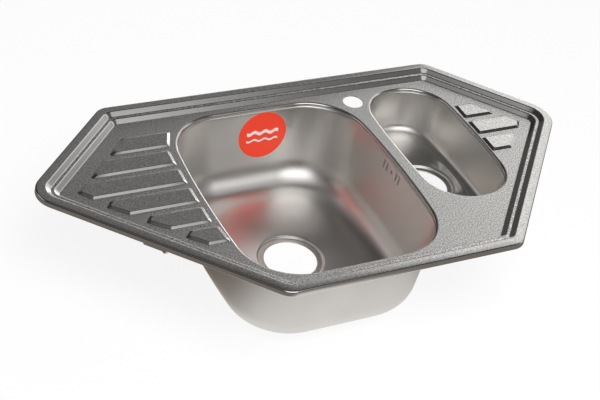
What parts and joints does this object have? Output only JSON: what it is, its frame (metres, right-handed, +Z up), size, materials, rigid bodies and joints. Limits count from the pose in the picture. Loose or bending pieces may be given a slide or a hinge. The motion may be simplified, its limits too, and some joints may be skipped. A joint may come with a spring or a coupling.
{
  "type": "corner kitchen sink",
  "caption": "Inset stainless steel corner sink with pointed ends, large and small bowl, ribbed drainers, tap hole and screw clamps below the rim.",
  "frame": {"origin": "on the worktop surface, on the middle line of the sealing strip along the back edge, halfway along the sink", "axes": "+X right along the straight back edge, +Y towards the back, +Z up"},
  "size_m": [0.9275, 0.5, 0.1808],
  "materials": {
    "decor_steel": "embossed fine linen texture",
    "bowl_steel": "satin",
    "label_film": "printed film",
    "seal_foam": "closed-cell foam",
    "bitumen_felt": "matt",
    "zinc_strip": "zinc plated",
    "zinc_screw": "zinc plated"
  },
  "bodies": {
    "base": {"deck": "decor_steel", "main_bowl": "bowl_steel", "small_bowl": "bowl_steel", "label": "label_film", "rim_gasket": "seal_foam", "sound_pad": "bitumen_felt", "bracket_1": "zinc_strip", "bracket_2": "zinc_strip", "bracket_3": "zinc_strip", "bracket_4": "zinc_strip", "bracket_5": "zinc_strip", "bracket_6": "zinc_strip", "bracket_7": "zinc_strip"},
    "clamp_washer_1": {"washer_1": "zinc_strip"},
    "clamp_claw_1": {"claw_1": "zinc_strip"},
    "clamp_screw_1": {"screw_1": "zinc_screw"},
    "clamp_washer_2": {"washer_2": "zinc_strip"},
    "clamp_claw_2": {"claw_2": "zinc_strip"},
    "clamp_screw_2": {"screw_2": "zinc_screw"},
    "clamp_washer_3": {"washer_3": "zinc_strip"},
    "clamp_claw_3": {"claw_3": "zinc_strip"},
    "clamp_screw_3": {"screw_3": "zinc_screw"},
    "clamp_washer_4": {"washer_4": "zinc_strip"},
    "clamp_claw_4": {"claw_4": "zinc_strip"},
    "clamp_screw_4": {"screw_4": "zinc_screw"},
    "clamp_washer_5": {"washer_5": "zinc_strip"},
    "clamp_claw_5": {"claw_5": "zinc_strip"},
    "clamp_screw_5": {"screw_5": "zinc_screw"},
    "clamp_washer_6": {"washer_6": "zinc_strip"},
    "clamp_claw_6": {"claw_6": "zinc_strip"},
    "clamp_screw_6": {"screw_6": "zinc_screw"},
    "clamp_washer_7": {"washer_7": "zinc_strip"},
    "clamp_claw_7": {"claw_7": "zinc_strip"},
    "clamp_screw_7": {"screw_7": "zinc_screw"}
  },
  "joints": [
    {"name": "clamp_lift_1", "type": "slide", "parent": "base", "child": "clamp_washer_1", "axis": [0, 0, 1], "range_m": [0, 0.012]},
    {"name": "claw_swing_1", "type": "hinge", "parent": "clamp_washer_1", "child": "clamp_claw_1", "pos_m": [-0.36001, -0.11455, -0.035], "axis": [0, 0, 1], "range_deg": [0, 90]},
    {"name": "screw_turn_1", "type": "hinge", "parent": "clamp_washer_1", "child": "clamp_screw_1", "pos_m": [-0.36001, -0.11455, -0.035], "axis": [0, 0, 1], "range_deg": [0, 5402]},
    {"name": "clamp_lift_2", "type": "slide", "parent": "base", "child": "clamp_washer_2", "axis": [0, 0, 1], "range_m": [0, 0.012]},
    {"name": "claw_swing_2", "type": "hinge", "parent": "clamp_washer_2", "child": "clamp_claw_2", "pos_m": [-0.30172, -0.3056, -0.035], "axis": [0, 0, 1], "range_deg": [0, 90]},
    {"name": "screw_turn_2", "type": "hinge", "parent": "clamp_washer_2", "child": "clamp_screw_2", "pos_m": [-0.30172, -0.3056, -0.035], "axis": [0, 0, 1], "range_deg": [0, 5402]},
    {"name": "clamp_lift_3", "type": "slide", "parent": "base", "child": "clamp_washer_3", "axis": [0, 0, 1], "range_m": [0, 0.012]},
    {"name": "claw_swing_3", "type": "hinge", "parent": "clamp_washer_3", "child": "clamp_claw_3", "pos_m": [0.163, -0.4485, -0.035], "axis": [0, 0, 1], "range_deg": [0, 90]},
    {"name": "screw_turn_3", "type": "hinge", "parent": "clamp_washer_3", "child": "clamp_screw_3", "pos_m": [0.163, -0.4485, -0.035], "axis": [0, 0, 1], "range_deg": [0, 5402]},
    {"name": "clamp_lift_4", "type": "slide", "parent": "base", "child": "clamp_washer_4", "axis": [0, 0, 1], "range_m": [0, 0.012]},
    {"name": "claw_swing_4", "type": "hinge", "parent": "clamp_washer_4", "child": "clamp_claw_4", "pos_m": [0.31452, -0.31272, -0.035], "axis": [0, 0, 1], "range_deg": [0, 90]},
    {"name": "screw_turn_4", "type": "hinge", "parent": "clamp_washer_4", "child": "clamp_screw_4", "pos_m": [0.31452, -0.31272, -0.035], "axis": [0, 0, 1], "range_deg": [0, 5402]},
    {"name": "clamp_lift_5", "type": "slide", "parent": "base", "child": "clamp_washer_5", "axis": [0, 0, 1], "range_m": [0, 0.012]},
    {"name": "claw_swing_5", "type": "hinge", "parent": "clamp_washer_5", "child": "clamp_claw_5", "pos_m": [0.36506, -0.11847, -0.035], "axis": [0, 0, 1], "range_deg": [0, 90]},
    {"name": "screw_turn_5", "type": "hinge", "parent": "clamp_washer_5", "child": "clamp_screw_5", "pos_m": [0.36506, -0.11847, -0.035], "axis": [0, 0, 1], "range_deg": [0, 5402]},
    {"name": "clamp_lift_6", "type": "slide", "parent": "base", "child": "clamp_washer_6", "axis": [0, 0, 1], "range_m": [0, 0.012]},
    {"name": "claw_swing_6", "type": "hinge", "parent": "clamp_washer_6", "child": "clamp_claw_6", "pos_m": [0.192, -0.0345, -0.035], "axis": [0, 0, 1], "range_deg": [0, 90]},
    {"name": "screw_turn_6", "type": "hinge", "parent": "clamp_washer_6", "child": "clamp_screw_6", "pos_m": [0.192, -0.0345, -0.035], "axis": [0, 0, 1], "range_deg": [0, 5402]},
    {"name": "clamp_lift_7", "type": "slide", "parent": "base", "child": "clamp_washer_7", "axis": [0, 0, 1], "range_m": [0, 0.012]},
    {"name": "claw_swing_7", "type": "hinge", "parent": "clamp_washer_7", "child": "clamp_claw_7", "pos_m": [-0.24, -0.0345, -0.035], "axis": [0, 0, 1], "range_deg": [0, 90]},
    {"name": "screw_turn_7", "type": "hinge", "parent": "clamp_washer_7", "child": "clamp_screw_7", "pos_m": [-0.24, -0.0345, -0.035], "axis": [0, 0, 1], "range_deg": [0, 5402]}
  ],
  "couplings": [
    {"joint": "screw_turn_1", "follows": "clamp_lift_1", "rad_per_m": 7854},
    {"joint": "screw_turn_2", "follows": "clamp_lift_2", "rad_per_m": 7854},
    {"joint": "screw_turn_3", "follows": "clamp_lift_3", "rad_per_m": 7854},
    {"joint": "screw_turn_4", "follows": "clamp_lift_4", "rad_per_m": 7854},
    {"joint": "screw_turn_5", "follows": "clamp_lift_5", "rad_per_m": 7854},
    {"joint": "screw_turn_6", "follows": "clamp_lift_6", "rad_per_m": 7854},
    {"joint": "screw_turn_7", "follows": "clamp_lift_7", "rad_per_m": 7854}
  ]
}
